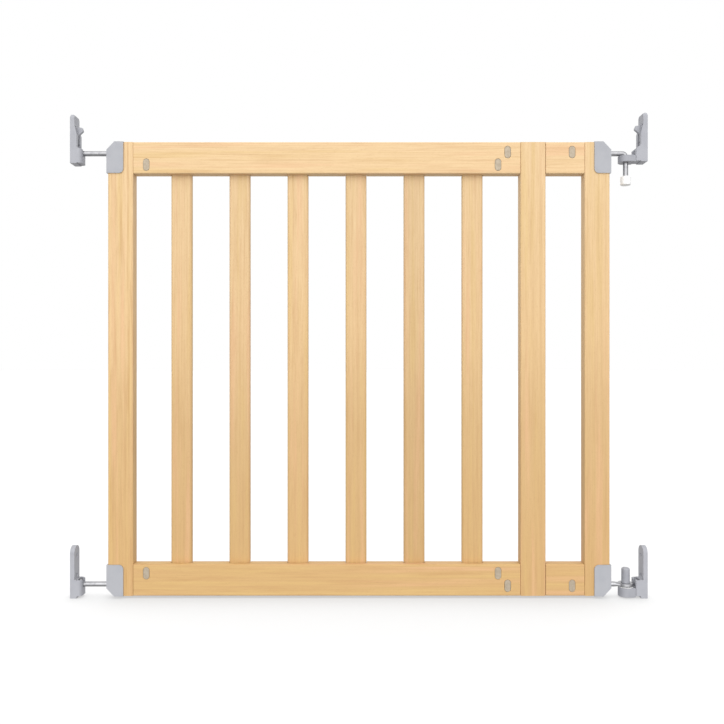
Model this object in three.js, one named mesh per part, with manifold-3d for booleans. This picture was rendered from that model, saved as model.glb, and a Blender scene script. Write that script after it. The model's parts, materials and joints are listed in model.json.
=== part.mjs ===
// A wooden safety gate for a doorway or stairway, with its four wall fittings.
// Millimetres. X runs along the gate from the latch side to the hinge side, Y from front to back
// and Z upwards. The origin is on the gate's middle plane, level with the fittings' lowest point.
import * as THREE from "three";
import { mergeVertices } from "three/addons/utils/BufferGeometryUtils.js";
import Module from "manifold-3d";

// Clearances
const GAP = 0.3; // between faces that touch on the real gate

// Opening and frame
const WALL_X = 458; // half the distance between the two walls
const FRAME = { width: 796, height: 720, depth: 20, base: 4 };
const HALF = { x: FRAME.width / 2, y: FRAME.depth / 2, z: FRAME.height / 2 };
const STILE_WIDTH = 40;
const RAIL_HEIGHT = 50;
const MIDDLE_STILE_X = 276.4;
const BOARD_EDGE = 1.8; // radius along the boards' long edges
const STILE_CHAMFER = { x: 12.6, z: 13.3 }; // the outer stiles' ends, under the corner caps

// Slats, let into housings in the rails' rear faces
const SLAT = { count: 6, width: 33.6, depth: 10, pitch: 93.1, firstX: -283.9, edge: 4, tenon: 25 };

// Rods, bolts and the cross nuts they screw into
const ROD = { radius: 4, fromEdge: 16, travel: 6 };
const BOLT = { radius: 3, headRadius: 5, headLength: 6, socketRadius: 2.5, socketDepth: 3 };
const FRAME_BOLT = { fromEdge: 36, sink: 7, length: 75 };
const EXTENSION_BOLT = { headX: 312.3, length: 84 };
const NUT = { width: 9.7, height: 19, proud: 0.2, backY: 6 };
const NUT_X = { latch: -337.2, inner: 220.8, extension: 236, hinge: 338.3 };
const INSERT = { radius: 6, length: 20, sink: 4 };
const HEAD = { radius: 8, nearWall: 11.3, thickness: 3, edge: 0.8 };
const LATCH_ROD_END = 30; // from the left stile's outer edge to the rod's inner end
const HINGE_ROD_END_X = 328;

// Corner caps
// above is how far a cap stands over the frame's end, where its wall is let into the stile.
const CAP = { width: 26.5, height: 50, wall: 1.5, above: 0.5, innerRadius: 7, holeRadius: 4.4 };

// Wall fittings. u is the distance from the wall, z is counted from the fitting's own cup centre.
const PLATE = { width: 21, thickness: 7, top: 62, slopeFrom: 2, slopeFall: 3.5 };
const BOSS = { thickness: 10.5, slopeTop: 42, slopeFoot: 29 };
const CUP = { front: 18.5, roundCorner: 6.5, squareCorner: 1.5, bottom: -16.5 };
const POCKET = { near: 10.8, far: 15.3, halfWidth: 8.6, slotHalf: 4.5, hingeFloor: -13.5 };
const SCREW = { radius: 2, headRadius: 3.8, sink: 1.8 };
const CHANNEL = { floor: 6.4, lip: 8.8, halfWidth: 6, mouthHalf: 2.8, bottom: 9, top: 43.5 };
const CATCH = { back: 6.7, shoulder: 8.5, halfWidth: 5.6, neckHalf: 2.5, bottom: 26.5, top: 43 };
const NUB = { tip: 17.5, foot: 28.2, tipZ: 36, ledge: 42 };
const UPPER = { below: 17.5, arch: 7.5, channel: true, screws: [14, 35] };
const LOWER = { below: 20, arch: 10.4, channel: false, screws: [14, 46] };
const HINGE_FITTING_RISE = 3; // the upper hinge fitting sits this much above its rod

// Hinge
const PIN_U = 31.5; // hinge axis, from the wall
const ARM = { endRadius: 11.8, halfWidth: 10.5, neckHalf: 4.2, tenonHalf: 8.3, tenonTop: 3 };
const TOP_ARM = { bottom: -14.5, top: -4.6, holeRadius: 4.5, sinkRadius: 6.8, sinkDepth: 2.4 };
const LOW_ARM = { bottom: -18.4, top: -3.9, pinRadius: 6.5, pinTop: 26.5, pinEdge: 3 };
const BEND = { radius: 6, steps: 6, legEnd: -48.3 };
const STOP_CAP = { radius: 8, top: -36.5, bottom: -50.3, edge: 1.5 };
const EYE = { inner: 7, outer: 12, thickness: 5, neckLength: 8, neckWidth: 8.6 };
const WASHER = { inner: 6.8, outer: 12, thickness: 0.8 };

const SIDES = 24; // facets round a rod, a pin or a ring
const HIDDEN_SIDES = 12; // facets round what the boards hide
const ARC = 4; // facets in each rounded corner
const HALF_ROUND = 12; // facets in a half circle or an arched top

const WOOD = new THREE.MeshStandardMaterial({ color: 0xe9cb9c, roughness: 0.55 });
const LIGHT_GREY = new THREE.MeshStandardMaterial({ color: 0xbcbec8, roughness: 0.5 });
const MID_GREY = new THREE.MeshStandardMaterial({ color: 0xa9aab2, roughness: 0.5 });
const WHITE = new THREE.MeshStandardMaterial({ color: 0xf4f4f2, roughness: 0.45 });
const ZINC = new THREE.MeshStandardMaterial({ color: 0xd2d3d6, roughness: 0.28, metalness: 1 });
const DIE_CAST = new THREE.MeshStandardMaterial({ color: 0xc3beb4, roughness: 0.45, metalness: 0.6 });

const wasm = await Module();
wasm.setup();

// ---------------------------------------------------------------- solids

function solid(geometry) {
  const bare = geometry.clone();
  bare.deleteAttribute("normal");
  bare.deleteAttribute("uv");
  const merged = mergeVertices(bare, 1e-3);
  const vertProperties = Float32Array.from(merged.attributes.position.array);
  const triVerts = Uint32Array.from(merged.index.array);
  return new wasm.Manifold(new wasm.Mesh({ numProp: 3, vertProperties, triVerts }));
}

// The base with the pieces in add joined on, then the pieces in cut taken away.
function shaped(base, { add = [], cut = [] }) {
  let made = solid(base);
  for (const piece of add) made = made.add(solid(piece));
  for (const piece of cut) made = made.subtract(solid(piece));
  const mesh = made.getMesh();
  const geometry = new THREE.BufferGeometry();
  geometry.setAttribute("position", new THREE.BufferAttribute(mesh.vertProperties, 3));
  geometry.setIndex(new THREE.BufferAttribute(mesh.triVerts, 1));
  return geometry;
}

function box(x, y, z) {
  const geometry = new THREE.BoxGeometry(x[1] - x[0], y[1] - y[0], z[1] - z[0]);
  return geometry.translate((x[0] + x[1]) / 2, (y[0] + y[1]) / 2, (z[0] + z[1]) / 2);
}

// Turns a shape drawn round the Y axis so that it runs along another axis.
function turned(geometry, axis) {
  if (axis === "x") return geometry.rotateZ(-Math.PI / 2);
  if (axis === "z") return geometry.rotateX(Math.PI / 2);
  return geometry;
}

function cylinder(axis, radius, from, to, centre = [0, 0], sides = HIDDEN_SIDES) {
  const geometry = turned(new THREE.CylinderGeometry(radius, radius, to - from, sides), axis);
  const middle = (from + to) / 2;
  if (axis === "x") return geometry.translate(middle, centre[0], centre[1]);
  if (axis === "y") return geometry.translate(centre[0], middle, centre[1]);
  return geometry.translate(centre[0], centre[1], middle);
}

// A body of revolution. The profile's points are [radius, distance along the axis].
function revolved(axis, profile, sides = SIDES) {
  const points = profile.map(([radius, along]) => new THREE.Vector2(radius, along));
  return turned(new THREE.LatheGeometry(points, sides), axis);
}

// A prism of an outline drawn in the plane across the axis: (y, z) for x, (x, z) for y, (x, y) for z.
function prism(outline, axis, from, to, curveSegments = ARC) {
  const settings = { depth: to - from, bevelEnabled: false, curveSegments };
  const geometry = new THREE.ExtrudeGeometry(outline, settings);
  if (axis === "x") {
    const yzx = new THREE.Matrix4().set(0, 0, 1, 0, 1, 0, 0, 0, 0, 1, 0, 0, 0, 0, 0, 1);
    return geometry.applyMatrix4(yzx).translate(from, 0, 0);
  }
  if (axis === "y") return geometry.rotateX(Math.PI / 2).translate(0, to, 0);
  return geometry.translate(0, 0, from);
}

function polygon(points) {
  return new THREE.Shape(points.map(([a, b]) => new THREE.Vector2(a, b)));
}

function roundedRectangle(a, b, radius) {
  const shape = new THREE.Shape();
  shape.moveTo(a[0] + radius, b[0]);
  shape.lineTo(a[1] - radius, b[0]);
  shape.absarc(a[1] - radius, b[0] + radius, radius, -Math.PI / 2, 0);
  shape.lineTo(a[1], b[1] - radius);
  shape.absarc(a[1] - radius, b[1] - radius, radius, 0, Math.PI / 2);
  shape.lineTo(a[0] + radius, b[1]);
  shape.absarc(a[0] + radius, b[1] - radius, radius, Math.PI / 2, Math.PI);
  shape.lineTo(a[0], b[0] + radius);
  shape.absarc(a[0] + radius, b[0] + radius, radius, Math.PI, 1.5 * Math.PI);
  return shape;
}

// A slot-shaped outline, upright, with round ends.
function oblong(width, height) {
  return roundedRectangle([-width / 2, width / 2], [-height / 2, height / 2], width / 2 - 0.001);
}

// A U, open upwards: half round below the centre, straight above it.
function uShape(half, top) {
  const shape = new THREE.Shape();
  shape.moveTo(half, top);
  shape.lineTo(-half, top);
  shape.lineTo(-half, 0);
  shape.absarc(0, 0, half, Math.PI, 2 * Math.PI);
  return shape;
}

function mesh(name, geometry, material, position = [0, 0, 0]) {
  const made = new THREE.Mesh(geometry, material);
  made.name = name;
  made.position.set(...position);
  return made;
}

// ---------------------------------------------------------------- wooden frame

const ROD_Z = HALF.z - ROD.fromEdge; // from the frame's centre
const FRAME_BOLT_Z = HALF.z - FRAME_BOLT.fromEdge;
const BORE = BOLT.radius + GAP;
const ENDS = { top: 1, bottom: -1 };

// The stile's section, running its whole height, centred on its own axis.
function stileBlank() {
  const half = STILE_WIDTH / 2;
  const section = roundedRectangle([-half, half], [-HALF.y, HALF.y], BOARD_EDGE);
  return prism(section, "z", -HALF.z, HALF.z);
}

// Cuts the outer corner of a stile's end; outward is -1 on the left and 1 on the right.
function cornerCut(outward, end) {
  const edge = (outward * STILE_WIDTH) / 2;
  const reach = 2 * STILE_CHAMFER.x;
  const slope = STILE_CHAMFER.z / STILE_CHAMFER.x;
  const rise = reach * slope;
  const outline = polygon([
    [edge - outward * STILE_CHAMFER.x, end * HALF.z],
    [edge - outward * STILE_CHAMFER.x + outward * reach, end * (HALF.z - rise)],
    [edge - outward * STILE_CHAMFER.x + outward * reach, end * (HALF.z + rise)],
    [edge - outward * 2 * STILE_CHAMFER.x, end * (HALF.z + rise)],
    [edge - outward * 2 * STILE_CHAMFER.x, end * (HALF.z + STILE_CHAMFER.z)],
  ]);
  return prism(outline, "y", -FRAME.depth, FRAME.depth);
}

// The step in a stile's end that the cap's end wall lies in.
function capStep(outward, end) {
  const edge = (outward * STILE_WIDTH) / 2;
  const reach = CAP.width - CAP.wall;
  const floor = HALF.z - (CAP.wall + GAP - CAP.above);
  const x = [edge + outward, edge - outward * reach].sort((a, b) => a - b);
  const z = [end * floor, end * (HALF.z + 1)].sort((a, b) => a - b);
  return box(x, [-FRAME.depth, FRAME.depth], z);
}

function latchStile() {
  const outer = -STILE_WIDTH / 2;
  const cut = [];
  for (const end of Object.values(ENDS)) {
    const rodEnd = outer + LATCH_ROD_END + ROD.travel + 1.5;
    const insertEnd = outer + INSERT.sink + INSERT.length + GAP;
    const boltLine = [0, end * FRAME_BOLT_Z];
    const rodLine = [0, end * ROD_Z];
    cut.push(cornerCut(-1, end), capStep(-1, end));
    cut.push(cylinder("x", BORE, outer - 1, STILE_WIDTH, boltLine));
    cut.push(cylinder("x", BOLT.headRadius + GAP, outer - 1, outer + FRAME_BOLT.sink, boltLine));
    cut.push(cylinder("x", INSERT.radius + GAP, outer - 1, insertEnd, rodLine));
    cut.push(cylinder("x", ROD.radius + GAP, outer, rodEnd, rodLine));
  }
  return shaped(stileBlank(), { cut });
}

function middleStile() {
  const outer = STILE_WIDTH / 2;
  const cut = [];
  for (const end of Object.values(ENDS)) {
    const boltLine = [0, end * FRAME_BOLT_Z];
    cut.push(cylinder("x", BORE, -STILE_WIDTH, STILE_WIDTH, boltLine));
    cut.push(cylinder("x", BOLT.headRadius + GAP, outer - FRAME_BOLT.sink, outer + 1, boltLine));
    cut.push(cylinder("x", BORE, -STILE_WIDTH, STILE_WIDTH, [0, end * ROD_Z]));
  }
  return shaped(stileBlank(), { cut });
}

function hingeStile() {
  const cut = [];
  for (const end of Object.values(ENDS)) {
    cut.push(cornerCut(1, end), capStep(1, end));
    cut.push(cylinder("x", ROD.radius + GAP, -STILE_WIDTH, STILE_WIDTH, [0, end * ROD_Z]));
  }
  return shaped(stileBlank(), { cut });
}

// A rail between two stiles; end is 1 for the top rail and -1 for the bottom rail.
function railBlank(from, to, end) {
  const z = end > 0 ? [HALF.z - RAIL_HEIGHT, HALF.z] : [-HALF.z, RAIL_HEIGHT - HALF.z];
  return prism(roundedRectangle([-HALF.y, HALF.y], z, BOARD_EDGE), "x", from, to);
}

function nutPocket(x, z) {
  const outline = oblong(NUT.width + 2 * GAP, NUT.height + 2 * GAP);
  return prism(outline, "y", -HALF.y - 1, NUT.backY + GAP).translate(x, 0, z);
}

function slatHousing(x, end) {
  const half = SLAT.width / 2 + GAP;
  const inner = end * (HALF.z - RAIL_HEIGHT);
  const z = [inner - end, inner + end * SLAT.tenon].sort((a, b) => a - b);
  return box([x - half, x + half], [HALF.y - SLAT.depth - GAP, HALF.y + 1], z);
}

const RAIL = {
  left: -HALF.x + STILE_WIDTH + GAP,
  right: MIDDLE_STILE_X - STILE_WIDTH / 2 - GAP,
};
const EXTENSION = {
  left: MIDDLE_STILE_X + STILE_WIDTH / 2 + GAP,
  right: HALF.x - STILE_WIDTH - GAP,
};
const LATCH_BOLT_SEAT = -HALF.x + FRAME_BOLT.sink; // under the bolt's head
const INNER_BOLT_SEAT = MIDDLE_STILE_X + STILE_WIDTH / 2 - FRAME_BOLT.sink;

function slatX(i) {
  return SLAT.firstX + i * SLAT.pitch;
}

function mainRail(end) {
  const z = end * FRAME_BOLT_Z;
  const longBoltEnd = EXTENSION_BOLT.headX - EXTENSION_BOLT.length;
  const cut = [
    cylinder("x", BORE, RAIL.left - 1, LATCH_BOLT_SEAT + FRAME_BOLT.length + 2, [0, z]),
    cylinder("x", BORE, INNER_BOLT_SEAT - FRAME_BOLT.length - 2, RAIL.right + 1, [0, z]),
    cylinder("x", BORE, longBoltEnd - 2, RAIL.right + 1, [0, end * ROD_Z]),
    nutPocket(NUT_X.latch, z),
    nutPocket(NUT_X.inner, z),
    nutPocket(NUT_X.extension, end * ROD_Z),
  ];
  for (let i = 0; i < SLAT.count; i++) cut.push(slatHousing(slatX(i), end));
  return shaped(railBlank(RAIL.left, RAIL.right, end), { cut });
}

function extensionRail(end) {
  const z = end * ROD_Z;
  const cut = [
    cylinder("x", BORE, EXTENSION.left - 1, EXTENSION.right, [0, z]),
    cylinder("x", INSERT.radius + GAP, EXTENSION_BOLT.headX - GAP, EXTENSION.right + 1, [0, z]),
    nutPocket(NUT_X.hinge, z),
  ];
  return shaped(railBlank(EXTENSION.left, EXTENSION.right, end), { cut });
}

function slat() {
  const half = SLAT.width / 2;
  const reach = HALF.z - RAIL_HEIGHT + SLAT.tenon - GAP;
  const section = roundedRectangle([-half, half], [HALF.y - SLAT.depth, HALF.y], SLAT.edge);
  return prism(section, "z", -reach, reach);
}

// ---------------------------------------------------------------- fasteners

// An upright plug let into the rail's front face, with a cross hole for a bolt or a rod.
function crossNut(holeRadius) {
  const body = prism(oblong(NUT.width, NUT.height), "y", -HALF.y - NUT.proud, NUT.backY);
  return shaped(body, { cut: [cylinder("x", holeRadius, -NUT.width, NUT.width)] });
}

// A cap screw: its head ends at x = 0 and its shank runs towards +X.
function capScrew(length) {
  const { radius, headRadius, headLength, socketRadius, socketDepth } = BOLT;
  const profile = [
    [0, socketDepth - headLength],
    [socketRadius, socketDepth - headLength],
    [socketRadius, -headLength],
    [headRadius, -headLength],
    [headRadius, 0],
    [radius, 0],
    [radius, length - 1],
    [radius - 1, length],
    [0, length],
  ];
  return revolved("x", profile, HIDDEN_SIDES);
}

function threadedInsert() {
  const bore = ROD.radius + GAP;
  const closed = [
    [bore, 0],
    [INSERT.radius, 0],
    [INSERT.radius, INSERT.length],
    [bore, INSERT.length],
    [bore, 0],
  ];
  return revolved("x", closed, HIDDEN_SIDES);
}

// Its disc head stands in a wall fitting's cup; x is counted from the wall.
function latchRod() {
  const far = HEAD.nearWall + HEAD.thickness;
  const end = WALL_X - HALF.x + LATCH_ROD_END;
  return revolved("x", [
    [0, HEAD.nearWall],
    [HEAD.radius - HEAD.edge, HEAD.nearWall],
    [HEAD.radius, HEAD.nearWall + HEAD.edge],
    [HEAD.radius, far - HEAD.edge],
    [HEAD.radius - HEAD.edge, far],
    [ROD.radius, far],
    [ROD.radius, end - 1],
    [ROD.radius - 1, end],
    [0, end],
  ]);
}

// A shell over a stile's end. Local x runs inwards and z downwards from the frame's outer corner.
function cornerCap() {
  const slant = Math.hypot(STILE_CHAMFER.x, STILE_CHAMFER.z);
  // The corner d outside the stile's faces and its chamfer, cut off level at the height top.
  const corner = (d, top) => {
    const x = STILE_CHAMFER.x + d * (1 + (STILE_CHAMFER.x - slant) / STILE_CHAMFER.z);
    const z = STILE_CHAMFER.z + d * (1 + (STILE_CHAMFER.z - slant) / STILE_CHAMFER.x);
    return { side: d - z, end: x - d - ((d - top) * x) / z };
  };
  const proud = CAP.wall + GAP;
  const ceiling = CAP.above - CAP.wall;
  const right = CAP.width - proud;
  const foot = CAP.above - CAP.height;
  const outer = corner(proud, CAP.above);
  const inner = corner(GAP, ceiling);
  const skin = new THREE.Shape();
  skin.moveTo(-proud, foot);
  skin.lineTo(right - CAP.innerRadius, foot);
  skin.absarc(right - CAP.innerRadius, foot + CAP.innerRadius, CAP.innerRadius, -Math.PI / 2, 0);
  skin.lineTo(right, CAP.above);
  skin.lineTo(outer.end, CAP.above);
  skin.lineTo(-proud, outer.side);
  const room = polygon([
    [-GAP, foot - 1],
    [right + 1, foot - 1],
    [right + 1, ceiling],
    [inner.end, ceiling],
    [-GAP, inner.side],
  ]);
  const outside = HALF.y + proud;
  const inside = HALF.y + GAP;
  return shaped(prism(skin, "y", -outside, outside), {
    cut: [
      prism(room, "y", -inside, inside),
      cylinder("x", CAP.holeRadius, -2 * proud, 1, [0, -ROD.fromEdge], SIDES),
    ],
  });
}

// ---------------------------------------------------------------- wall fittings

const PLATE_HALF = PLATE.width / 2;

function plate(below, arch) {
  const spring = PLATE.top - arch; // where the arched top begins
  const radius = (PLATE_HALF ** 2 + arch ** 2) / (2 * arch);
  const reach = Math.asin(PLATE_HALF / radius);
  const outline = new THREE.Shape();
  outline.moveTo(-PLATE_HALF, -below);
  outline.lineTo(PLATE_HALF, -below);
  outline.lineTo(PLATE_HALF, spring);
  outline.absarc(0, PLATE.top - radius, radius, Math.PI / 2 - reach, Math.PI / 2 + reach);
  return prism(outline, "x", 0, PLATE.thickness, HALF_ROUND);
}

// Slopes the plate's upper end down towards its face.
function slopedEnd() {
  const { top, thickness, slopeFrom, slopeFall } = PLATE;
  const fall = slopeFall / (thickness - slopeFrom);
  const outline = polygon([
    [slopeFrom, top],
    [thickness + 1, top - (thickness + 1 - slopeFrom) * fall],
    [thickness + 1, top + 1],
    [slopeFrom, top + 1],
  ]);
  return prism(outline, "y", -PLATE.width, PLATE.width);
}

// The thicker lower part that the catch slides in.
function channelBoss(below) {
  const outline = polygon([
    [1, -below],
    [BOSS.thickness, -below],
    [BOSS.thickness, BOSS.slopeFoot],
    [PLATE.thickness, BOSS.slopeTop],
    [1, BOSS.slopeTop],
  ]);
  return prism(outline, "y", -PLATE_HALF, PLATE_HALF);
}

// The cup in front of the plate, with a rim that falls from back to front.
function cup(rimBack, rimFront, cornerRadius) {
  const { front, bottom } = CUP;
  const plan = new THREE.Shape();
  plan.moveTo(1, -PLATE_HALF);
  plan.lineTo(front - cornerRadius, -PLATE_HALF);
  plan.absarc(front - cornerRadius, cornerRadius - PLATE_HALF, cornerRadius, -Math.PI / 2, 0);
  plan.lineTo(front, PLATE_HALF - cornerRadius);
  plan.absarc(front - cornerRadius, PLATE_HALF - cornerRadius, cornerRadius, 0, Math.PI / 2);
  plan.lineTo(1, PLATE_HALF);
  const above = polygon([
    [-1, rimBack],
    [BOSS.thickness, rimBack],
    [front + 1, rimFront],
    [front + 1, rimBack + PLATE.top],
    [-1, rimBack + PLATE.top],
  ]);
  const falling = prism(above, "y", -PLATE.width, PLATE.width);
  return shaped(prism(plan, "z", bottom, rimBack), { cut: [falling] });
}

function screwHole(z, face) {
  const { radius, headRadius, sink } = SCREW;
  const profile = [
    [0, -1],
    [radius, -1],
    [radius, face - sink],
    [headRadius, face],
    [headRadius, face + 20],
    [0, face + 20],
  ];
  return revolved("x", profile).translate(0, 0, z);
}

function catchChannel() {
  const { floor, lip, halfWidth, mouthHalf, bottom, top } = CHANNEL;
  return [
    box([floor, lip], [-halfWidth, halfWidth], [bottom, top]),
    box([lip - 1, CUP.front + 1], [-mouthHalf, mouthHalf], [bottom, top]),
    box([BOSS.thickness - 0.4, CUP.front + 1], [-mouthHalf, mouthHalf], [bottom - 1, top]),
  ];
}

// style is UPPER or LOWER; rims are the cup rim's heights at the back and at the front;
// a latch cup is round at the bottom for the rod's disc head, a hinge cup is square for an arm.
function wallFitting(style, rims, holdsArm) {
  const { near, far, halfWidth, slotHalf, hingeFloor } = POCKET;
  const out = CUP.front + 1;
  const pocket = holdsArm
    ? [
        box([near, far], [-halfWidth, halfWidth], [hingeFloor, PLATE.top]),
        box([near, out], [-slotHalf, slotHalf], [hingeFloor, PLATE.top]),
      ]
    : [
        prism(uShape(halfWidth, PLATE.top), "x", near, far, HALF_ROUND),
        prism(uShape(slotHalf, PLATE.top), "x", near, out, HALF_ROUND),
      ];
  const corner = holdsArm ? CUP.squareCorner : CUP.roundCorner;
  const add = [channelBoss(style.below), cup(...rims, corner)];
  const screwFace = style.channel ? CHANNEL.floor : PLATE.thickness;
  const cut = [...pocket, ...style.screws.map((z) => screwHole(z, screwFace))];
  if (style.channel) {
    cut.push(...catchChannel(), slopedEnd());
  } else {
    const plain = [[PLATE.thickness, out], [-PLATE.width, PLATE.width], [rims[0], PLATE.top + 1]];
    cut.push(box(...plain));
  }
  return shaped(plate(style.below, style.arch), { add, cut });
}

// The sliding catch in its raised, released place.
function catchSlide() {
  const { back, shoulder, halfWidth, neckHalf, bottom, top } = CATCH;
  const wedge = polygon([
    [shoulder - 1, NUB.foot],
    [shoulder + 1.4, NUB.foot],
    [NUB.tip, NUB.tipZ - 1],
    [NUB.tip, NUB.tipZ + 1],
    [NUB.tip - 1.5, NUB.ledge - 1],
    [shoulder - 1, NUB.ledge],
  ]);
  return shaped(box([back, shoulder], [-halfWidth, halfWidth], [bottom, top]), {
    add: [prism(wedge, "y", -neckHalf, neckHalf)],
  });
}

// ---------------------------------------------------------------- hinge

// An arm that drops into a hinge cup. z is counted from the rod; rise is the cup's own height above it.
function armBlank(arm, rise) {
  const back = CUP.front + GAP;
  const plan = new THREE.Shape();
  plan.moveTo(back, -ARM.halfWidth);
  plan.lineTo(PIN_U, -ARM.endRadius);
  plan.absarc(PIN_U, 0, ARM.endRadius, -Math.PI / 2, Math.PI / 2);
  plan.lineTo(back, ARM.halfWidth);
  const foot = POCKET.hingeFloor + rise + GAP;
  const tenon = box(
    [POCKET.near + GAP, POCKET.far - GAP],
    [-ARM.tenonHalf, ARM.tenonHalf],
    [foot, ARM.tenonTop + rise],
  );
  const neck = box([POCKET.near + 1, back + 1], [-ARM.neckHalf, ARM.neckHalf], [foot, arm.top]);
  return { base: prism(plan, "z", arm.bottom, arm.top, HALF_ROUND), add: [tenon, neck] };
}

function topHingeArm() {
  const { base, add } = armBlank(TOP_ARM, HINGE_FITTING_RISE);
  const { bottom, top, holeRadius, sinkRadius, sinkDepth } = TOP_ARM;
  const hole = revolved("z", [
    [0, bottom - 1],
    [holeRadius, bottom - 1],
    [holeRadius, top - sinkDepth],
    [sinkRadius, top],
    [sinkRadius, top + 1],
    [0, top + 1],
  ]);
  return shaped(base, { add, cut: [hole.translate(PIN_U, 0, 0)] });
}

function lowHingeArm() {
  const { base, add } = armBlank(LOW_ARM, 0);
  const { top, pinRadius, pinTop, pinEdge } = LOW_ARM;
  const profile = [
    [0, top - 1],
    [pinRadius, top - 1],
  ];
  for (let i = 0; i <= ARC; i++) {
    const angle = (i / ARC) * (Math.PI / 2);
    profile.push([
      pinRadius - pinEdge * (1 - Math.cos(angle)),
      pinTop - pinEdge * (1 - Math.sin(angle)),
    ]);
  }
  profile.push([0, pinTop]);
  return shaped(base, { add: [...add, revolved("z", profile).translate(PIN_U, 0, 0)] });
}

// The centre line of the upper hinge rod: level, a quarter bend, then a leg straight down.
class BentRod extends THREE.Curve {
  constructor(startX, pinX) {
    super();
    this.bendX = pinX - BEND.radius;
    this.startX = startX;
    this.pinX = pinX;
    this.stations = BEND.steps + 2;
  }
  getPoint(t) {
    const station = t * this.stations;
    if (station < 1) {
      return new THREE.Vector3(this.startX + (this.bendX - this.startX) * station, 0, 0);
    }
    if (station > this.stations - 1) {
      const share = station - (this.stations - 1);
      return new THREE.Vector3(this.pinX, 0, -BEND.radius + (BEND.legEnd + BEND.radius) * share);
    }
    const angle = ((station - 1) / BEND.steps) * (Math.PI / 2);
    const x = this.bendX + BEND.radius * Math.sin(angle);
    return new THREE.Vector3(x, 0, -BEND.radius * (1 - Math.cos(angle)));
  }
  getTangent(t) {
    const angle = THREE.MathUtils.clamp((t * this.stations - 1) / BEND.steps, 0, 1) * (Math.PI / 2);
    return new THREE.Vector3(Math.cos(angle), 0, -Math.sin(angle));
  }
  getPointAt(t) {
    return this.getPoint(t);
  }
  getTangentAt(t) {
    return this.getTangent(t);
  }
}

const PIN_X = WALL_X - PIN_U;

function topHingeRod() {
  const section = new THREE.Shape().absarc(0, 0, ROD.radius, 0, 2 * Math.PI);
  const extrudePath = new BentRod(HINGE_ROD_END_X, PIN_X);
  const settings = { steps: extrudePath.stations, curveSegments: SIDES / 2, extrudePath };
  return shaped(new THREE.ExtrudeGeometry(section, settings), {});
}

function ring(inner, outer, from, to) {
  const closed = [
    [inner, from],
    [outer, from],
    [outer, to],
    [inner, to],
    [inner, from],
  ];
  return revolved("z", closed);
}

function lowHingeRod() {
  const half = EYE.thickness / 2;
  const reach = PIN_X - EYE.outer;
  const rodEnd = reach - EYE.neckLength / 3;
  const rod = cylinder("x", ROD.radius, HINGE_ROD_END_X, rodEnd, [0, 0], SIDES);
  const neckX = [reach - EYE.neckLength, reach + EYE.outer - EYE.inner - 1];
  const neck = box(neckX, [-EYE.neckWidth / 2, EYE.neckWidth / 2], [-half, half]);
  const eye = ring(EYE.inner, EYE.outer, -half, half).translate(PIN_X, 0, 0);
  return shaped(rod, { add: [neck, eye] });
}

function stopCap() {
  const { radius, top, bottom, edge } = STOP_CAP;
  const bore = ROD.radius + GAP;
  return revolved("z", [
    [0, bottom],
    [radius - edge, bottom],
    [radius, bottom + edge],
    [radius, top - edge],
    [radius - edge, top],
    [bore, top],
    [bore, BEND.legEnd - GAP],
    [0, BEND.legEnd - GAP],
  ]);
}

function hingeWasher() {
  const top = -EYE.thickness / 2 - GAP;
  return ring(WASHER.inner, WASHER.outer, top - WASHER.thickness, top);
}

// ---------------------------------------------------------------- assembly

const CENTRE_Z = FRAME.base + HALF.z;
const TURNED = Math.PI;

const gate = new THREE.Group();

const frame = new THREE.Group();
frame.position.z = CENTRE_Z;
gate.add(frame);

frame.add(mesh("latch_stile", latchStile(), WOOD, [-HALF.x + STILE_WIDTH / 2, 0, 0]));
frame.add(mesh("middle_stile", middleStile(), WOOD, [MIDDLE_STILE_X, 0, 0]));
frame.add(mesh("hinge_stile", hingeStile(), WOOD, [HALF.x - STILE_WIDTH / 2, 0, 0]));

for (let i = 0; i < SLAT.count; i++) {
  frame.add(mesh("slat_" + (i + 1), slat(), WOOD, [slatX(i), 0, 0]));
}

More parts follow.
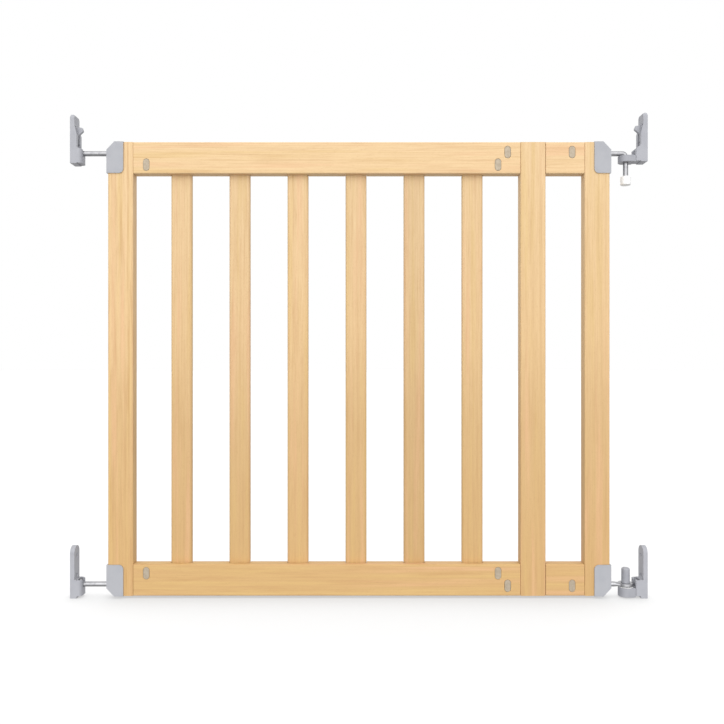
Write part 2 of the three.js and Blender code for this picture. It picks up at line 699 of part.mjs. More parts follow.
for (const [place, end] of Object.entries(ENDS)) {
  const rodZ = end * ROD_Z;
  const boltZ = end * FRAME_BOLT_Z;
  frame.add(mesh(place + "_rail", mainRail(end), WOOD));
  frame.add(mesh(place + "_extension_rail", extensionRail(end), WOOD));

  const boltNut = crossNut(BORE);
  frame.add(mesh(place + "_latch_cross_nut", boltNut, DIE_CAST, [NUT_X.latch, 0, boltZ]));
  frame.add(mesh(place + "_inner_cross_nut", boltNut, DIE_CAST, [NUT_X.inner, 0, boltZ]));
  frame.add(mesh(place + "_extension_cross_nut", boltNut, DIE_CAST, [NUT_X.extension, 0, rodZ]));
  const rodNut = crossNut(ROD.radius + GAP);
  frame.add(mesh(place + "_hinge_cross_nut", rodNut, DIE_CAST, [NUT_X.hinge, 0, rodZ]));

  const screw = capScrew(FRAME_BOLT.length);
  frame.add(mesh(place + "_latch_bolt", screw, ZINC, [LATCH_BOLT_SEAT - GAP, 0, boltZ]));
  const innerBolt = mesh(place + "_inner_bolt", screw, ZINC, [INNER_BOLT_SEAT + GAP, 0, boltZ]);
  innerBolt.rotation.z = TURNED;
  const longScrew = capScrew(EXTENSION_BOLT.length);
  const longPlace = [EXTENSION_BOLT.headX, 0, rodZ];
  const extensionBolt = mesh(place + "_extension_bolt", longScrew, ZINC, longPlace);
  extensionBolt.rotation.z = TURNED;
  frame.add(innerBolt, extensionBolt);

  const insertPlace = [-HALF.x + INSERT.sink, 0, rodZ];
  frame.add(mesh(place + "_rod_insert", threadedInsert(), ZINC, insertPlace));
  frame.add(mesh(place + "_latch_rod", latchRod(), ZINC, [-WALL_X, 0, rodZ]));

  const cap = cornerCap();
  const latchCap = mesh(place + "_latch_corner_cap", cap, LIGHT_GREY, [-HALF.x, 0, end * HALF.z]);
  latchCap.rotation.x = end > 0 ? 0 : TURNED;
  const hingeCap = mesh(place + "_hinge_corner_cap", cap, LIGHT_GREY, [HALF.x, 0, end * HALF.z]);
  if (end > 0) hingeCap.rotation.z = TURNED;
  else hingeCap.rotation.y = TURNED;
  frame.add(latchCap, hingeCap);
}

frame.add(mesh("top_hinge_rod", topHingeRod(), ZINC, [0, 0, ROD_Z]));
frame.add(mesh("bottom_hinge_rod", lowHingeRod(), ZINC, [0, 0, -ROD_Z]));
frame.add(mesh("hinge_stop_cap", stopCap(), WHITE, [PIN_X, 0, ROD_Z]));

// The wall groups' own x runs away from the wall, and their z is counted from the rods.
const latchWall = new THREE.Group();
latchWall.position.set(-WALL_X, 0, CENTRE_Z);
const hingeWall = new THREE.Group();
hingeWall.position.set(WALL_X, 0, CENTRE_Z);
hingeWall.rotation.z = TURNED;
gate.add(latchWall, hingeWall);

const RIMS = { topLatch: [8, 5], topHinge: [9, 2], bottom: [9, 8] };
const risenZ = ROD_Z + HINGE_FITTING_RISE;
const fittings = {
  topLatch: wallFitting(UPPER, RIMS.topLatch, false),
  bottomLatch: wallFitting(LOWER, RIMS.bottom, false),
  topHinge: wallFitting(UPPER, RIMS.topHinge, true),
  bottomHinge: wallFitting(LOWER, RIMS.bottom, true),
};
latchWall.add(mesh("top_latch_fitting", fittings.topLatch, MID_GREY, [0, 0, ROD_Z]));
latchWall.add(mesh("bottom_latch_fitting", fittings.bottomLatch, MID_GREY, [0, 0, -ROD_Z]));
latchWall.add(mesh("latch_side_catch", catchSlide(), MID_GREY, [0, 0, ROD_Z]));
hingeWall.add(mesh("top_hinge_fitting", fittings.topHinge, MID_GREY, [0, 0, risenZ]));
hingeWall.add(mesh("bottom_hinge_fitting", fittings.bottomHinge, MID_GREY, [0, 0, -ROD_Z]));
hingeWall.add(mesh("hinge_side_catch", catchSlide(), MID_GREY, [0, 0, risenZ]));
hingeWall.add(mesh("top_hinge_arm", topHingeArm(), MID_GREY, [0, 0, ROD_Z]));
hingeWall.add(mesh("bottom_hinge_arm", lowHingeArm(), MID_GREY, [0, 0, -ROD_Z]));
hingeWall.add(mesh("hinge_washer", hingeWasher(), WHITE, [PIN_U, 0, -ROD_Z]));

export default gate;
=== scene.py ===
"""A beech safety gate between two walls, on four steel rods and four grey plastic wall fittings.

Everything is in metres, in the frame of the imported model: X runs along the gate from the latch
side to the hinge side, Y from front to back and Z upwards. Boards and mouldings start from their
solids and get soft edges; rods, screws and turned pieces are modelled here.
"""

import json
import math

import bmesh
import bpy
from mathutils import Euler, Matrix, Vector


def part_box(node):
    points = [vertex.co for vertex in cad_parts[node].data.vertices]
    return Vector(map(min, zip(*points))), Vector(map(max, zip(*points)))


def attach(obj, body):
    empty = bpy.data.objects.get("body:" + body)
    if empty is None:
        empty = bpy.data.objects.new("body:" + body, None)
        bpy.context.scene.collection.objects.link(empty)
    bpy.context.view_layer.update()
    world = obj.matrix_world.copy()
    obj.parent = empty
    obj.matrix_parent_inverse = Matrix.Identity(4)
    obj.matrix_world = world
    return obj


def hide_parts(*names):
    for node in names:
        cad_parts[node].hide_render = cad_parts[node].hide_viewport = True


MM = 0.001
TURN = 2 * math.pi

# Camera: level, straight in front of the gate
CAMERA_X = 5 * MM
CAMERA_DISTANCE = 1143 * MM  # from the frame's front faces
CAMERA_HEIGHT = 375 * MM
LENS = 35.84
SENSOR = 36.0

# Soft edges
WOOD_EDGE = 0.5 * MM
SLAT_END_EDGE = 0.3 * MM
CAP_EDGE = 0.55 * MM
FITTING_EDGE = 0.4 * MM
NUT_EDGE = 0.5 * MM
CREASE = math.radians(35)  # an edge sharper than this is softened
FLAT = math.radians(0.6)  # faces closer than this to one plane become one face

# Rods: 8 mm with a coarse thread
ROUND = 48  # facets round a rod
ROD_RADIUS = 4 * MM
ROD_PITCH = 1.25 * MM
LATCH_ROD = {"head": 3 * MM, "thread": 28 * MM, "edge": 0.5 * MM}
LATCH_ROD_TIP = {"length": 0.6 * MM, "radius": 3.44 * MM}  # where the shank ends in its thread
HINGE_ROD = {"thread": 52 * MM, "bend": 6 * MM, "bend_steps": 14, "edge": 0.4 * MM}
EYE = {"inner": 7 * MM, "outer": 12 * MM, "thickness": 5 * MM, "edge": 1 * MM}
EYE_NECK = {"length": 8 * MM, "half_width": 7.44 * MM, "overlap": 2 * MM, "steps": 8}

# Screws: 6 mm with a socket in the head
BOLT_RADIUS = 3 * MM
BOLT_PITCH = 1 * MM
BOLT_THREAD = 24 * MM
BOLT_HEAD = {"radius": 5 * MM, "length": 6 * MM, "socket": 2.5 * MM, "depth": 3 * MM}
BOLT_TIP = {"length": 0.5 * MM, "radius": 2.55 * MM}
BOLT_EDGE = 0.25 * MM
INSERT_EDGE = 0.3 * MM
THREAD_DEPTH = 0.61  # in pitches

# White pieces
STOP_CAP = {"bore": 4.15 * MM, "end": 2 * MM, "edge": 1.2 * MM}
WASHER = {"bore": 6.8 * MM, "edge": 0.2 * MM}

# Stage
FLOOR_RADIUS = 30.0
FLOOR_GREY = ((0.12, 0.12, 0.12, 1), (0.125, 0.125, 0.125, 1))
FLOOR_GLOW = 0.55  # keeps the shadows under the gate pale
FLOOR_LIGHT = 3.4  # from the lamp that lights only the floor
FLOOR_LAMP_TILT = 16  # degrees, from behind the gate
FLOOR_LAMP_SPREAD = 100  # degrees
FRONT_LIGHT = ((0, -0.85, 0.53), 1.87)  # where it comes from, and its strength
REAR_LIGHT = ((0, 0.9, 0.44), 0.7)
ROOM_LIGHT = 0.48

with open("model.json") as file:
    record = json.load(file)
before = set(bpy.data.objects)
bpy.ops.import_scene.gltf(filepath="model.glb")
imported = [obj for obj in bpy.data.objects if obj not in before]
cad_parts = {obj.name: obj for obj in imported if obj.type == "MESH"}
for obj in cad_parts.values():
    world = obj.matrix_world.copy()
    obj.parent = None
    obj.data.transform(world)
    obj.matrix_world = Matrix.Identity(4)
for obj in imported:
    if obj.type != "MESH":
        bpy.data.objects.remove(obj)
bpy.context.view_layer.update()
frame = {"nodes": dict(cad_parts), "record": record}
nodes = frame["nodes"]
body_of = {
    node: body
    for body, members in frame["record"]["behaviour"]["bodies"].items()
    for node in members
}


def srgb(red, green, blue):
    """A display colour from 0 to 255 as the linear colour that the shaders take."""

    def linear(value):
        value /= 255
        return value / 12.92 if value <= 0.04045 else ((value + 0.055) / 1.055) ** 2.4

    return (linear(red), linear(green), linear(blue), 1)


# ------------------------------------------------------------------ shaders


class Shader:
    """A material and short ways of adding nodes to it."""

    def __init__(self, name):
        self.material = bpy.data.materials.new(name)
        self.material.use_nodes = True
        self.tree = self.material.node_tree
        self.surface = self.tree.nodes["Principled BSDF"]

    def node(self, kind, settings=None, **inputs):
        """A node of that kind; inputs are values or other nodes' outputs, by socket name."""
        made = self.tree.nodes.new("ShaderNode" + kind)
        for name, value in (settings or {}).items():
            setattr(made, name, value)
        for name, value in inputs.items():
            self.set(made, name.replace("_", " "), value)
        return made

    def set(self, node, socket, value):
        target = node.inputs[int(socket)] if socket.isdigit() else node.inputs[socket]
        if isinstance(value, bpy.types.NodeSocket):
            self.tree.links.new(value, target)
        else:
            target.default_value = value

    def finish(self, **inputs):
        for name, value in inputs.items():
            self.set(self.surface, name.replace("_", " "), value)
        return self.material

    def maths(self, operation, a, b=0.0):
        made = self.node("Math", {"operation": operation})
        self.set(made, "0", a)
        self.set(made, "1", b)
        return made.outputs[0]

    def blend(self, share, a, b):
        """Colour a turned towards colour b by share."""
        made = self.node("Mix", {"data_type": "RGBA"})
        self.set(made, "0", share)
        self.set(made, "6", a)
        self.set(made, "7", b)
        return made.outputs[2]

    def shaded(self, colour, tone):
        """The colour with its light scaled by tone."""
        made = self.node("Mix", {"data_type": "RGBA", "blend_type": "MULTIPLY"})
        self.set(made, "0", 1.0)
        self.set(made, "6", colour)
        self.set(made, "7", (tone, tone, tone, 1))
        return made.outputs[2]

    def rise(self, value, low, high, to_low=0.0, to_high=1.0):
        """value, eased from to_low at low to to_high at high and held outside."""
        made = self.node(
            "MapRange",
            {"interpolation_type": "SMOOTHSTEP"},
            Value=value,
            From_Min=low,
            From_Max=high,
            To_Min=to_low,
            To_Max=to_high,
        )
        return made.outputs[0]

    def ramp(self, value, stops):
        """The colour at value along stops, which are pairs of a place and a colour."""
        made = self.node("ValToRGB", Fac=value)
        elements = made.color_ramp.elements
        for i, (place, colour) in enumerate(stops):
            stop = elements[i] if i < 2 else elements.new(place)
            stop.position = place
            stop.color = colour
        return made.outputs["Color"]

    def place(self):
        return self.node("TexCoord").outputs["Object"]

    def mapped(self, vector, scale=(1, 1, 1), rotation=(0, 0, 0), location=(0, 0, 0)):
        made = self.node("Mapping", Vector=vector)
        made.inputs["Scale"].default_value = scale
        made.inputs["Rotation"].default_value = rotation
        made.inputs["Location"].default_value = location
        return made.outputs[0]

    def noise(self, vector, scale, detail=3.0, roughness=0.5):
        made = self.node(
            "TexNoise", Vector=vector, Scale=scale, Detail=detail, Roughness=roughness
        )
        return made.outputs["Fac"]

    def bump(self, height, distance, strength=1.0):
        made = self.node("Bump", Height=height, Distance=distance, Strength=strength)
        return made.outputs[0]


# Beech, growing paler and less yellow from the gate's foot to its top
BEECH_BY_HEIGHT = [
    (30 * MM, srgb(206, 169, 116)),
    (270 * MM, srgb(210, 176, 127)),
    (430 * MM, srgb(223, 190, 143)),
    (720 * MM, srgb(230, 200, 156)),
]
PINK_BEECH = srgb(228, 181, 143)
STRAW_BEECH = srgb(216, 185, 122)
RING_BEECH = srgb(186, 142, 95)
FLECK_BEECH = srgb(150, 106, 66)
RING_SPACING = 2.4 * MM
BAND_WIDTH = 11 * MM
STREAK_WIDTH = 5 * MM
FIBRE_WIDTH = 0.9 * MM
FLECK_WIDTH = 0.45 * MM
SHARES = {"band": 0.42, "ring": 0.1, "streak": 0.3, "fibre": 0.25, "fleck": 0.18}
GRAIN_STRETCH = 0.035  # across the grain to along it
HEART = 70 * MM  # from a board's middle to the heart of its log
HEART_ASIDE = 0.6  # in HEARTs, the most that the heart lies to one side of a board
LOG_START = 0.5  # radians round the log for the first board
LOG_TURN = 2.4  # radians more for each board after it
LOG_STEP = 0.31  # metres more along the shrunk grain for each board
FIGURE = {"latch_stile": 2.0, "slat_3": 1.3, "bottom_rail": 1.4}  # strength of the streaks, else 1
SLAT_TONE = 0.95  # the slats are a little darker than the stiles and rails
TONE = {"slat_3": 0.98, "slat_5": 0.89, "middle_stile": 0.97, "hinge_stile": 0.97}  # the odd ones


def grain_space(shader, node, index, stretch):
    """Object coordinates with the board's grain along Z, shrunk along it, and off its heart."""
    low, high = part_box(node)
    upright = high.z - low.z > high.x - low.x
    scale = Vector((1, 1, stretch) if upright else (stretch, 1, 1))
    turn = Euler((0, 0, 0) if upright else (0, math.radians(90), 0))
    middle = (low + high) / 2
    middle = Vector([a * b for a, b in zip(middle, scale)])
    middle.rotate(turn)
    angle = LOG_TURN * index + LOG_START
    heart = Vector((HEART_ASIDE * HEART * math.sin(angle), HEART, LOG_STEP * index))
    return shader.mapped(shader.place(), scale, turn, heart - middle)


def beech(node, index):
    """Lacquered beech with faint growth rings, streaks, fibres and short dark flecks."""
    shader = Shader("beech_" + node)
    grain = grain_space(shader, node, index, GRAIN_STRETCH)
    short = grain_space(shader, node, index, 4 * GRAIN_STRETCH)
    figure = FIGURE.get(node, 1.0)

    rings = shader.node(
        "TexWave",
        {"wave_type": "RINGS", "rings_direction": "Z", "wave_profile": "SIN"},
        Vector=grain,
        Scale=TURN / (20 * RING_SPACING),  # the texture has 20 radians to a unit of its scale
        Distortion=9.0,
        Detail=4.0,
        Detail_Scale=0.16,
        Detail_Roughness=0.6,
    ).outputs["Fac"]
    fibre = shader.noise(grain, 1 / FIBRE_WIDTH, detail=5.0, roughness=0.65)
    streak = shader.noise(grain, 1 / STREAK_WIDTH, detail=4.0, roughness=0.6)
    bands = shader.noise(grain, 1 / BAND_WIDTH, detail=2.0)
    flecks = shader.rise(shader.noise(short, 1 / FLECK_WIDTH, detail=1.0), 0.62, 0.72)

    height = shader.node("SeparateXYZ", Vector=shader.place()).outputs["Z"]
    base = shader.ramp(height, BEECH_BY_HEIGHT)
    pink = shader.rise(bands, 0.5, 0.72, 0.0, SHARES["band"])
    straw = shader.rise(bands, 0.5, 0.28, 0.0, SHARES["band"])
    ringed = shader.rise(rings, 0.4, 1.0, 0.0, SHARES["ring"])
    streaked = shader.rise(streak, 0.45, 0.75, 0.0, SHARES["streak"] * figure)
    fibrous = shader.rise(fibre, 0.4, 0.75, 0.0, SHARES["fibre"])
    flecked = shader.maths("MULTIPLY", flecks, SHARES["fleck"])
    base = shader.blend(pink, base, PINK_BEECH)
    base = shader.blend(straw, base, STRAW_BEECH)
    for share in (ringed, streaked, fibrous):
        base = shader.blend(share, base, RING_BEECH)
    base = shader.blend(flecked, base, FLECK_BEECH)
    tone = TONE.get(node, SLAT_TONE if node in SLATS else 1.0)
    colour = shader.shaded(base, tone)

    relief = shader.maths("SUBTRACT", fibre, shader.maths("MULTIPLY", flecks, 0.5))
    return shader.finish(
        Base_Color=colour,
        Roughness=shader.rise(fibre, 0.3, 0.7, 0.52, 0.64),
        Normal=shader.bump(relief, 0.06 * MM, 0.5),
        Specular_IOR_Level=0.2,
    )


def moulded(name, colour, dark, grain, roughness):
    """Spark-textured moulded plastic, a little cloudy, with a fine even grain."""
    shader = Shader(name)
    place = shader.place()
    cloud = shader.noise(place, 1 / (18 * MM), detail=3.0)
    pits = shader.noise(place, 1 / grain, detail=2.0, roughness=0.6)
    share = shader.rise(cloud, 0.35, 0.7, 0.0, 0.6)
    tint = shader.blend(share, colour, dark)
    tint = shader.blend(shader.rise(pits, 0.55, 0.8, 0.0, 0.35), tint, dark)
    return shader.finish(
        Base_Color=tint,
        Roughness=shader.rise(pits, 0.3, 0.7, roughness - 0.05, roughness + 0.07),
        Normal=shader.bump(pits, 0.03 * MM, 0.6),
    )


def zinc():
    """Bright zinc on drawn steel, with faint lines along the rod and a cloudy film."""
    shader = Shader("zinc_plate")
    place = shader.place()
    lines = shader.noise(shader.mapped(place, scale=(0.02, 1, 1)), 1 / (0.3 * MM), detail=2.0)
    film = shader.noise(place, 1 / (6 * MM), detail=4.0)
    share = shader.rise(film, 0.35, 0.7)
    return shader.finish(
        Base_Color=shader.blend(share, srgb(180, 180, 182), srgb(164, 164, 167)),
        Metallic=1.0,
        Roughness=shader.rise(film, 0.3, 0.7, 0.3, 0.42),
        Normal=shader.bump(lines, 0.01 * MM, 0.5),
    )


def die_cast():
    """Tumbled zinc die-casting: dull, a little warm and grainy."""
    shader = Shader("tumbled_casting")
    place = shader.place()
    grain = shader.noise(place, 1 / (0.5 * MM), detail=3.0, roughness=0.65)
    cloud = shader.noise(place, 1 / (5 * MM), detail=3.0)
    share = shader.rise(cloud, 0.3, 0.7)
    return shader.finish(
        Base_Color=shader.blend(share, srgb(181, 168, 148), srgb(166, 152, 132)),
        Metallic=0.35,
        Roughness=shader.rise(grain, 0.3, 0.7, 0.42, 0.58),
        Normal=shader.bump(grain, 0.04 * MM, 0.6),
    )


# ------------------------------------------------------------------ pieces


def finished(name, bm, material, node, edge=0.0):
    """Makes bm the object that stands for a CAD node and rides with its body."""
    mesh = bpy.data.meshes.new(name)
    bm.to_mesh(mesh)
    bm.free()
    mesh.materials.append(material)
    mesh.shade_smooth()
    piece = bpy.data.objects.new(name, mesh)
    bpy.context.scene.collection.objects.link(piece)
    if edge:
        bevel = piece.modifiers.new("soft_edges", "BEVEL")
        bevel.width = edge
        bevel.segments = 3
        bevel.limit_method = "ANGLE"
        bevel.angle_limit = CREASE
        bevel.miter_outer = "MITER_ARC"
    normals = piece.modifiers.new("even_shading", "WEIGHTED_NORMAL")
    normals.weight = 60
    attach(piece, body_of[node])
    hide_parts(node)


def solid_copy(node):
    """The node's solid as one connected mesh with its flat faces whole."""
    bm = bmesh.new()
    bm.from_mesh(nodes[node].data)
    bmesh.ops.remove_doubles(bm, verts=bm.verts, dist=0.005 * MM)
    bmesh.ops.dissolve_limit(bm, angle_limit=FLAT, verts=bm.verts, edges=bm.edges)
    return bm


def soften(bm, width, segments=3):
    """Rounds every edge sharper than CREASE."""
    sharp = [edge for edge in bm.edges if edge.calc_face_angle(0) > CREASE]
    bmesh.ops.bevel(
        bm,
        geom=sharp,
        offset=width,
        offset_type="OFFSET",
        segments=segments,
        profile=0.5,
        affect="EDGES",
        material=-1,
    )
    return bm


def ring(bm, along, half, half_z=None, corners=0):
    """A loop of vertices across the X axis: round, oval, or a polygon of that half width."""
    loop = bmesh.ops.create_circle(bm, cap_ends=False, segments=ROUND, radius=1)["verts"]
    for vert in loop:
        angle = math.atan2(vert.co.y, vert.co.x) % TURN
        reach = 1.0
        if corners:
            reach = 1 / math.cos(angle % (TURN / corners) - math.pi / corners)
        across = reach * half * math.cos(angle)
        up = reach * (half_z or half) * math.sin(angle)
        vert.co = (along, across, up)
    return loop


def loop_edges(loop):
    inside = set(loop)
    return list({e for v in loop for e in v.link_edges if e.other_vert(v) in inside})


def verts_in(geometry):
    return [part for part in geometry if isinstance(part, bmesh.types.BMVert)]


def lofted(sections):
    """A closed body through rings across the X axis, each given as ring()'s own values."""
    bm = bmesh.new()
    loops = [ring(bm, *section) for section in sections]
    for near, far in zip(loops, loops[1:]):
        bmesh.ops.bridge_loops(bm, edges=loop_edges(near) + loop_edges(far))
    bm.faces.new(loops[0])
    bm.faces.new(loops[-1])
    bmesh.ops.recalc_face_normals(bm, faces=bm.faces)
    return bm


def thread(start, length, crest, pitch, steps=16):
    """A screw thread along X from start, as a closed helical body."""
    root = crest - THREAD_DEPTH * pitch
    # the tooth's corners: how far along the pitch, and the radius
    tooth = [(0, root), (0.38, crest), (0.5, crest), (0.88, root), (1, root)]
    turns = round(length / pitch) - 1
    bm = bmesh.new()
    verts = [bm.verts.new((start + pitch * along, 0, radius)) for along, radius in tooth]
    edges = [bm.edges.new(pair) for pair in zip(verts, verts[1:])]
    bmesh.ops.spin(
        bm,
        geom=verts + edges,
        cent=(0, 0, 0),
        axis=(1, 0, 0),
        dvec=(pitch / steps, 0, 0),
        angle=TURN * turns,
        steps=steps * turns,
    )
    bmesh.ops.remove_doubles(bm, verts=bm.verts, dist=0.002 * MM)
    bmesh.ops.holes_fill(bm, edges=[e for e in bm.edges if e.is_boundary], sides=0)
    bmesh.ops.recalc_face_normals(bm, faces=bm.faces)
    return bm


def joined(*parts):
    """Several bodies in one mesh."""
    whole = bmesh.new()
    for part in parts:
        mesh = bpy.data.meshes.new("part")
        part.to_mesh(mesh)
        part.free()
        whole.from_mesh(mesh)
        bpy.data.meshes.remove(mesh)
    return whole


def placed(bm, where, turn=None):
    """bm turned about the origin, then moved so that the origin is at where."""
    matrix = Matrix.Translation(where)
    if turn:
        matrix = matrix @ turn.to_matrix().to_4x4()
    bmesh.ops.transform(bm, matrix=matrix, verts=bm.verts)
    return bm


def axis_of(node):
    """The middle height of a node that is round about a line along X."""
    low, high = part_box(node)
    return (low.z + high.z) / 2


# ------------------------------------------------------------------ wood, mouldings and nuts

BOARDS = ["latch_stile", "middle_stile", "hinge_stile"]
BOARDS += ["top_rail", "bottom_rail", "top_extension_rail", "bottom_extension_rail"]
SLATS = [node for node in sorted(nodes) if node.startswith("slat_")]


def boards():
    for index, node in enumerate(BOARDS + SLATS):
        edge = SLAT_END_EDGE if node in SLATS else WOOD_EDGE
        finished(node + "_board", solid_copy(node), beech(node, index), node, edge)


def mouldings():
    light = moulded("cap_grey", srgb(169, 170, 175), srgb(160, 162, 168), 0.35 * MM, 0.46)
    mid = moulded("fitting_grey", srgb(168, 169, 175), srgb(156, 157, 164), 0.4 * MM, 0.42)
    dark = moulded("arm_grey", srgb(160, 161, 167), srgb(147, 148, 155), 0.4 * MM, 0.42)
    for node in sorted(nodes):
        copy_name = node + "_moulding"
        if node.endswith("_corner_cap"):
            finished(copy_name, solid_copy(node), light, node, CAP_EDGE)
        elif node.endswith(("_fitting", "_arm", "_catch")):
            grey = dark if node.endswith("_arm") else mid
            edge = FITTING_EDGE
            finished(copy_name, solid_copy(node), grey, node, edge)


def cross_nuts():
    casting = die_cast()
    for node in sorted(nodes):
        if node.endswith("_cross_nut"):
            finished(node + "_casting", solid_copy(node), casting, node, NUT_EDGE)


# ------------------------------------------------------------------ rods and screws


def latch_rods(steel):
    """A disc head, a smooth shank and a threaded end."""
    for node in ("top_latch_rod", "bottom_latch_rod"):
        low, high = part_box(node)
        head = (high.z - low.z) / 2
        length = high.x - low.x
        smooth = length - LATCH_ROD["thread"]
        shank = lofted(
            [
                (0, head),
                (LATCH_ROD["head"], head),
                (LATCH_ROD["head"], ROD_RADIUS),
                (smooth, ROD_RADIUS),
                (smooth + LATCH_ROD_TIP["length"], LATCH_ROD_TIP["radius"]),
            ]
        )
        soften(shank, LATCH_ROD["edge"])
        screw = thread(smooth, LATCH_ROD["thread"], ROD_RADIUS, ROD_PITCH)
        rod = placed(joined(shank, screw), (low.x, 0, axis_of(node)))
        finished(node + "_steel", rod, steel, node)


def top_hinge_rod(steel):
    """A threaded end, a straight run, a quarter bend and a leg down through the arm."""
    node = "top_hinge_rod"
    low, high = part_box(node)
    axis = high.z - ROD_RADIUS
    pin = high.x - ROD_RADIUS
    bend_radius = HINGE_ROD["bend"]
    smooth_from = low.x + HINGE_ROD["thread"]
    bm = bmesh.new()
    loop = ring(bm, smooth_from, ROD_RADIUS)
    bmesh.ops.translate(bm, vec=(0, 0, axis), verts=loop)
    run = verts_in(bmesh.ops.extrude_edge_only(bm, edges=loop_edges(loop))["geom"])
    bmesh.ops.translate(bm, vec=(pin - bend_radius - smooth_from, 0, 0), verts=run)
    bend = bmesh.ops.spin(
        bm,
        geom=run + loop_edges(run),
        cent=(pin - bend_radius, 0, axis - bend_radius),
        axis=(0, 1, 0),
        angle=math.radians(90),
        steps=HINGE_ROD["bend_steps"],
    )["geom_last"]
    bend_end = verts_in(bend)
    leg = verts_in(bmesh.ops.extrude_edge_only(bm, edges=loop_edges(bend_end))["geom"])
    bmesh.ops.translate(bm, vec=(0, 0, low.z - (axis - bend_radius)), verts=leg)
    bmesh.ops.holes_fill(bm, edges=[e for e in bm.edges if e.is_boundary], sides=0)
    bmesh.ops.recalc_face_normals(bm, faces=bm.faces)
    soften(bm, HINGE_ROD["edge"])
    screw = thread(0, HINGE_ROD["thread"], ROD_RADIUS, ROD_PITCH)
    placed(screw, (low.x, 0, axis))
    finished(node + "_steel", joined(bm, screw), steel, node)


def eye_ring(inner, outer, thickness, edge):
    """A flat ring about the Z axis with soft edges."""
    bm = bmesh.new()
    half = thickness / 2
    corners = [(inner, -half), (outer, -half), (outer, half), (inner, half)]
    verts = [bm.verts.new((radius, 0, z)) for radius, z in corners]
    edges = [bm.edges.new((verts[i - 1], verts[i])) for i in range(len(verts))]
    bmesh.ops.spin(
        bm,
        geom=verts + edges,
        cent=(0, 0, 0),
        axis=(0, 0, 1),
        angle=TURN,
        steps=ROUND + 16,
        use_merge=True,
    )
    bmesh.ops.remove_doubles(bm, verts=bm.verts, dist=0.002 * MM)
    bmesh.ops.recalc_face_normals(bm, faces=bm.faces)
    return soften(bm, edge)


def bottom_hinge_rod(steel):
    """A threaded end and a smooth shank forged flat into an eye."""
    node = "bottom_hinge_rod"
    low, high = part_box(node)
    axis = axis_of(node)
    pin = high.x - EYE["outer"]
    flat = EYE["thickness"] / 2
    smooth_from = low.x + HINGE_ROD["thread"]
    neck_end = pin - EYE["inner"] - EYE_NECK["overlap"]
    neck_from = pin - EYE["outer"] - EYE_NECK["length"]
    sections = [(smooth_from, ROD_RADIUS), (neck_from, ROD_RADIUS)]
    for i in range(1, EYE_NECK["steps"] + 1):
        share = i / EYE_NECK["steps"]
        eased = share * share * (3 - 2 * share)
        along = neck_from + (neck_end - neck_from) * share
        width = ROD_RADIUS + (EYE_NECK["half_width"] - ROD_RADIUS) * eased
        sections.append((along, width, ROD_RADIUS + (flat - ROD_RADIUS) * eased))
    shank = placed(lofted(sections), (0, 0, axis))
    eye = eye_ring(EYE["inner"], EYE["outer"], EYE["thickness"], EYE["edge"])
    placed(eye, (pin, 0, axis))
    screw = placed(thread(0, HINGE_ROD["thread"], ROD_RADIUS, ROD_PITCH), (low.x, 0, axis))
    finished(node + "_steel", joined(shank, eye, screw), steel, node)


def stop_cap_and_washer():
    """The white cap pushed on the upper rod's leg, and the white washer under the eye."""
    white = moulded("white_nylon", srgb(249, 249, 248), srgb(241, 241, 240), 0.4 * MM, 0.4)
    node = "hinge_stop_cap"
    low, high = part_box(node)
    radius = (high.x - low.x) / 2
    height = high.z - low.z
    bore = STOP_CAP["bore"]
    cap = lofted([(0, radius), (height, radius), (height, bore), (STOP_CAP["end"], bore)])
    soften(cap, STOP_CAP["edge"], 4)
    upright = Euler((0, math.radians(-90), 0))
    placed(cap, ((low.x + high.x) / 2, 0, low.z), upright)
    finished(node + "_nylon", cap, white, node)

    node = "hinge_washer"
    low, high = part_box(node)
    middle = (low + high) / 2
    thickness = high.z - low.z
    washer = eye_ring(WASHER["bore"], (high.x - low.x) / 2, thickness, WASHER["edge"])
    finished(node + "_nylon", placed(washer, middle), white, node)


def cap_screws(steel):
    """Socket-head screws inside the boards."""
    for node in sorted(nodes):
        if not node.endswith("_bolt"):
            continue
        low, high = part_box(node)
        length = high.x - low.x
        head = BOLT_HEAD
        smooth = length - BOLT_THREAD
        shank = lofted(
            [
                (head["depth"], head["socket"], None, 6),
                (0, head["socket"], None, 6),
                (0, head["radius"]),
                (head["length"], head["radius"]),
                (head["length"], BOLT_RADIUS),
                (smooth, BOLT_RADIUS),
                (smooth + BOLT_TIP["length"], BOLT_TIP["radius"]),
            ]
        )
        soften(shank, BOLT_EDGE, 2)
        screw = thread(smooth, BOLT_THREAD, BOLT_RADIUS, BOLT_PITCH)
        bolt = joined(shank, screw)
        if "latch" in node:
            placed(bolt, (low.x, 0, axis_of(node)))
        else:
            placed(bolt, (high.x, 0, axis_of(node)), Euler((0, 0, math.pi)))
        finished(node + "_steel", bolt, steel, node)


def rod_inserts(steel):
    """Screw-in sockets that the latch rods turn in."""
    for node in ("top_rod_insert", "bottom_rod_insert"):
        finished(node + "_steel", solid_copy(node), steel, node, INSERT_EDGE)


# ------------------------------------------------------------------ stage, light and camera


def floor():
    """A pale floor far wider than the gate, which the gate casts its shadow on."""
    bm = bmesh.new()
    bmesh.ops.create_circle(bm, cap_ends=True, segments=96, radius=FLOOR_RADIUS)
    mesh = bpy.data.meshes.new("studio_floor")
    bm.to_mesh(mesh)
    bm.free()
    shader = Shader("matt_floor")
    grain = shader.noise(shader.place(), 1 / (3 * MM), detail=2.0)
    shader.finish(
        Base_Color=shader.blend(grain, *FLOOR_GREY),
        Roughness=0.9,
        Specular_IOR_Level=0.0,
        Emission_Color=(1, 1, 1, 1),
        Emission_Strength=FLOOR_GLOW,
    )
    mesh.materials.append(shader.material)
    ground = bpy.data.objects.new("studio_floor", mesh)
    bpy.context.scene.collection.objects.link(ground)
    ground.visible_diffuse = False
    ground.visible_glossy = False
    return ground


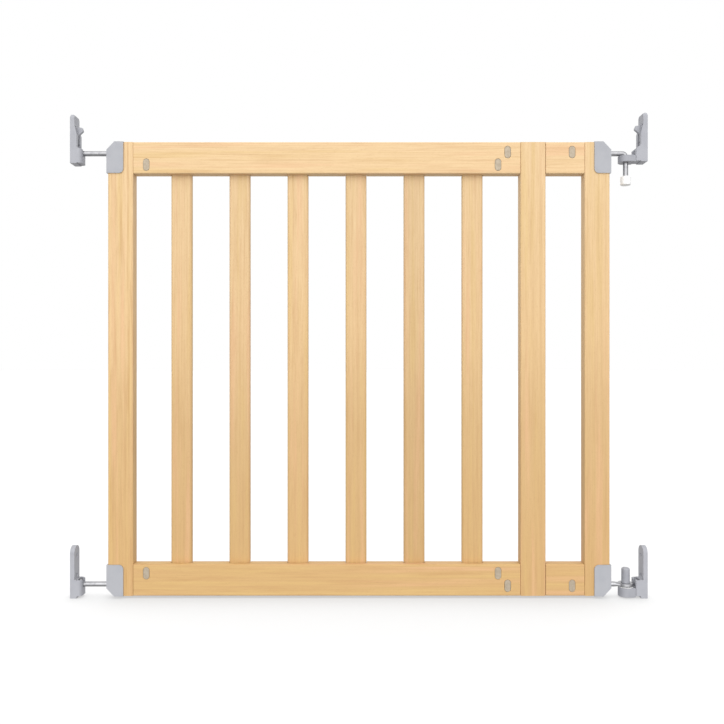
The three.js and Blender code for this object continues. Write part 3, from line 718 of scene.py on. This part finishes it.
def floor_lamp(ground):
    """A broad lamp high above and a little behind the gate that lights only the floor."""
    data = bpy.data.lights.new("floor_lamp", "SUN")
    data.energy = math.pi * FLOOR_LIGHT
    data.angle = math.radians(FLOOR_LAMP_SPREAD)
    lamp = bpy.data.objects.new("floor_lamp", data)
    lamp.rotation_euler = (-math.radians(FLOOR_LAMP_TILT), 0, 0)
    bpy.context.scene.collection.objects.link(lamp)
    lit = bpy.data.collections.new("lit_by_floor_lamp")
    lit.objects.link(ground)
    lamp.light_linking.receiver_collection = lit


def studio():
    """A broad soft light from the front and above, a weaker one behind, and even light all round."""
    world = bpy.data.worlds.new("studio")
    bpy.context.scene.world = world
    world.use_nodes = True
    tree = world.node_tree
    tree.nodes.clear()

    def node(kind, settings=None, **inputs):
        made = tree.nodes.new("ShaderNode" + kind)
        for name, value in (settings or {}).items():
            setattr(made, name, value)
        for name, value in inputs.items():
            socket = made.inputs[int(name[1:])]
            if isinstance(value, bpy.types.NodeSocket):
                tree.links.new(value, socket)
            else:
                socket.default_value = value
        return made.outputs[0]

    def maths(operation, a, b):
        return node("Math", {"operation": operation}, _0=a, _1=b)

    def soft_box(aim, strength):
        """A glow round the direction aim that has died away a quarter turn from it."""
        looking = tree.nodes.new("ShaderNodeTexCoord").outputs["Generated"]
        towards = tree.nodes.new("ShaderNodeVectorMath")
        towards.operation = "DOT_PRODUCT"
        tree.links.new(looking, towards.inputs[0])
        towards.inputs[1].default_value = Vector(aim).normalized()
        near = maths("MAXIMUM", towards.outputs["Value"], 0.0)
        return maths("MULTIPLY", maths("MULTIPLY", near, near), strength)

    glow = maths("ADD", soft_box(*FRONT_LIGHT), soft_box(*REAR_LIGHT))
    glow = maths("ADD", glow, ROOM_LIGHT)
    lit = node("Background", _0=(1, 1, 1, 1), _1=glow)
    backdrop = node("Background", _0=(1, 1, 1, 1), _1=1.0)
    seen = tree.nodes.new("ShaderNodeLightPath").outputs["Is Camera Ray"]
    shown = node("MixShader", _0=seen, _1=lit, _2=backdrop)
    tree.links.new(shown, tree.nodes.new("ShaderNodeOutputWorld").inputs[0])
    bpy.context.scene.view_settings.view_transform = "Standard"


def camera():
    data = bpy.data.cameras.new("camera")
    data.lens = LENS
    data.sensor_width = SENSOR
    data.clip_end = 200
    viewer = bpy.data.objects.new("camera", data)
    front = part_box("latch_stile")[0].y
    viewer.location = (CAMERA_X, front - CAMERA_DISTANCE, CAMERA_HEIGHT)
    viewer.rotation_euler = (math.radians(90), 0, 0)
    bpy.context.scene.collection.objects.link(viewer)
    bpy.context.scene.camera = viewer


camera()
studio()
floor_lamp(floor())
boards()
mouldings()
cross_nuts()
plated = zinc()
latch_rods(plated)
top_hinge_rod(plated)
bottom_hinge_rod(plated)
stop_cap_and_washer()
cap_screws(plated)
rod_inserts(plated)
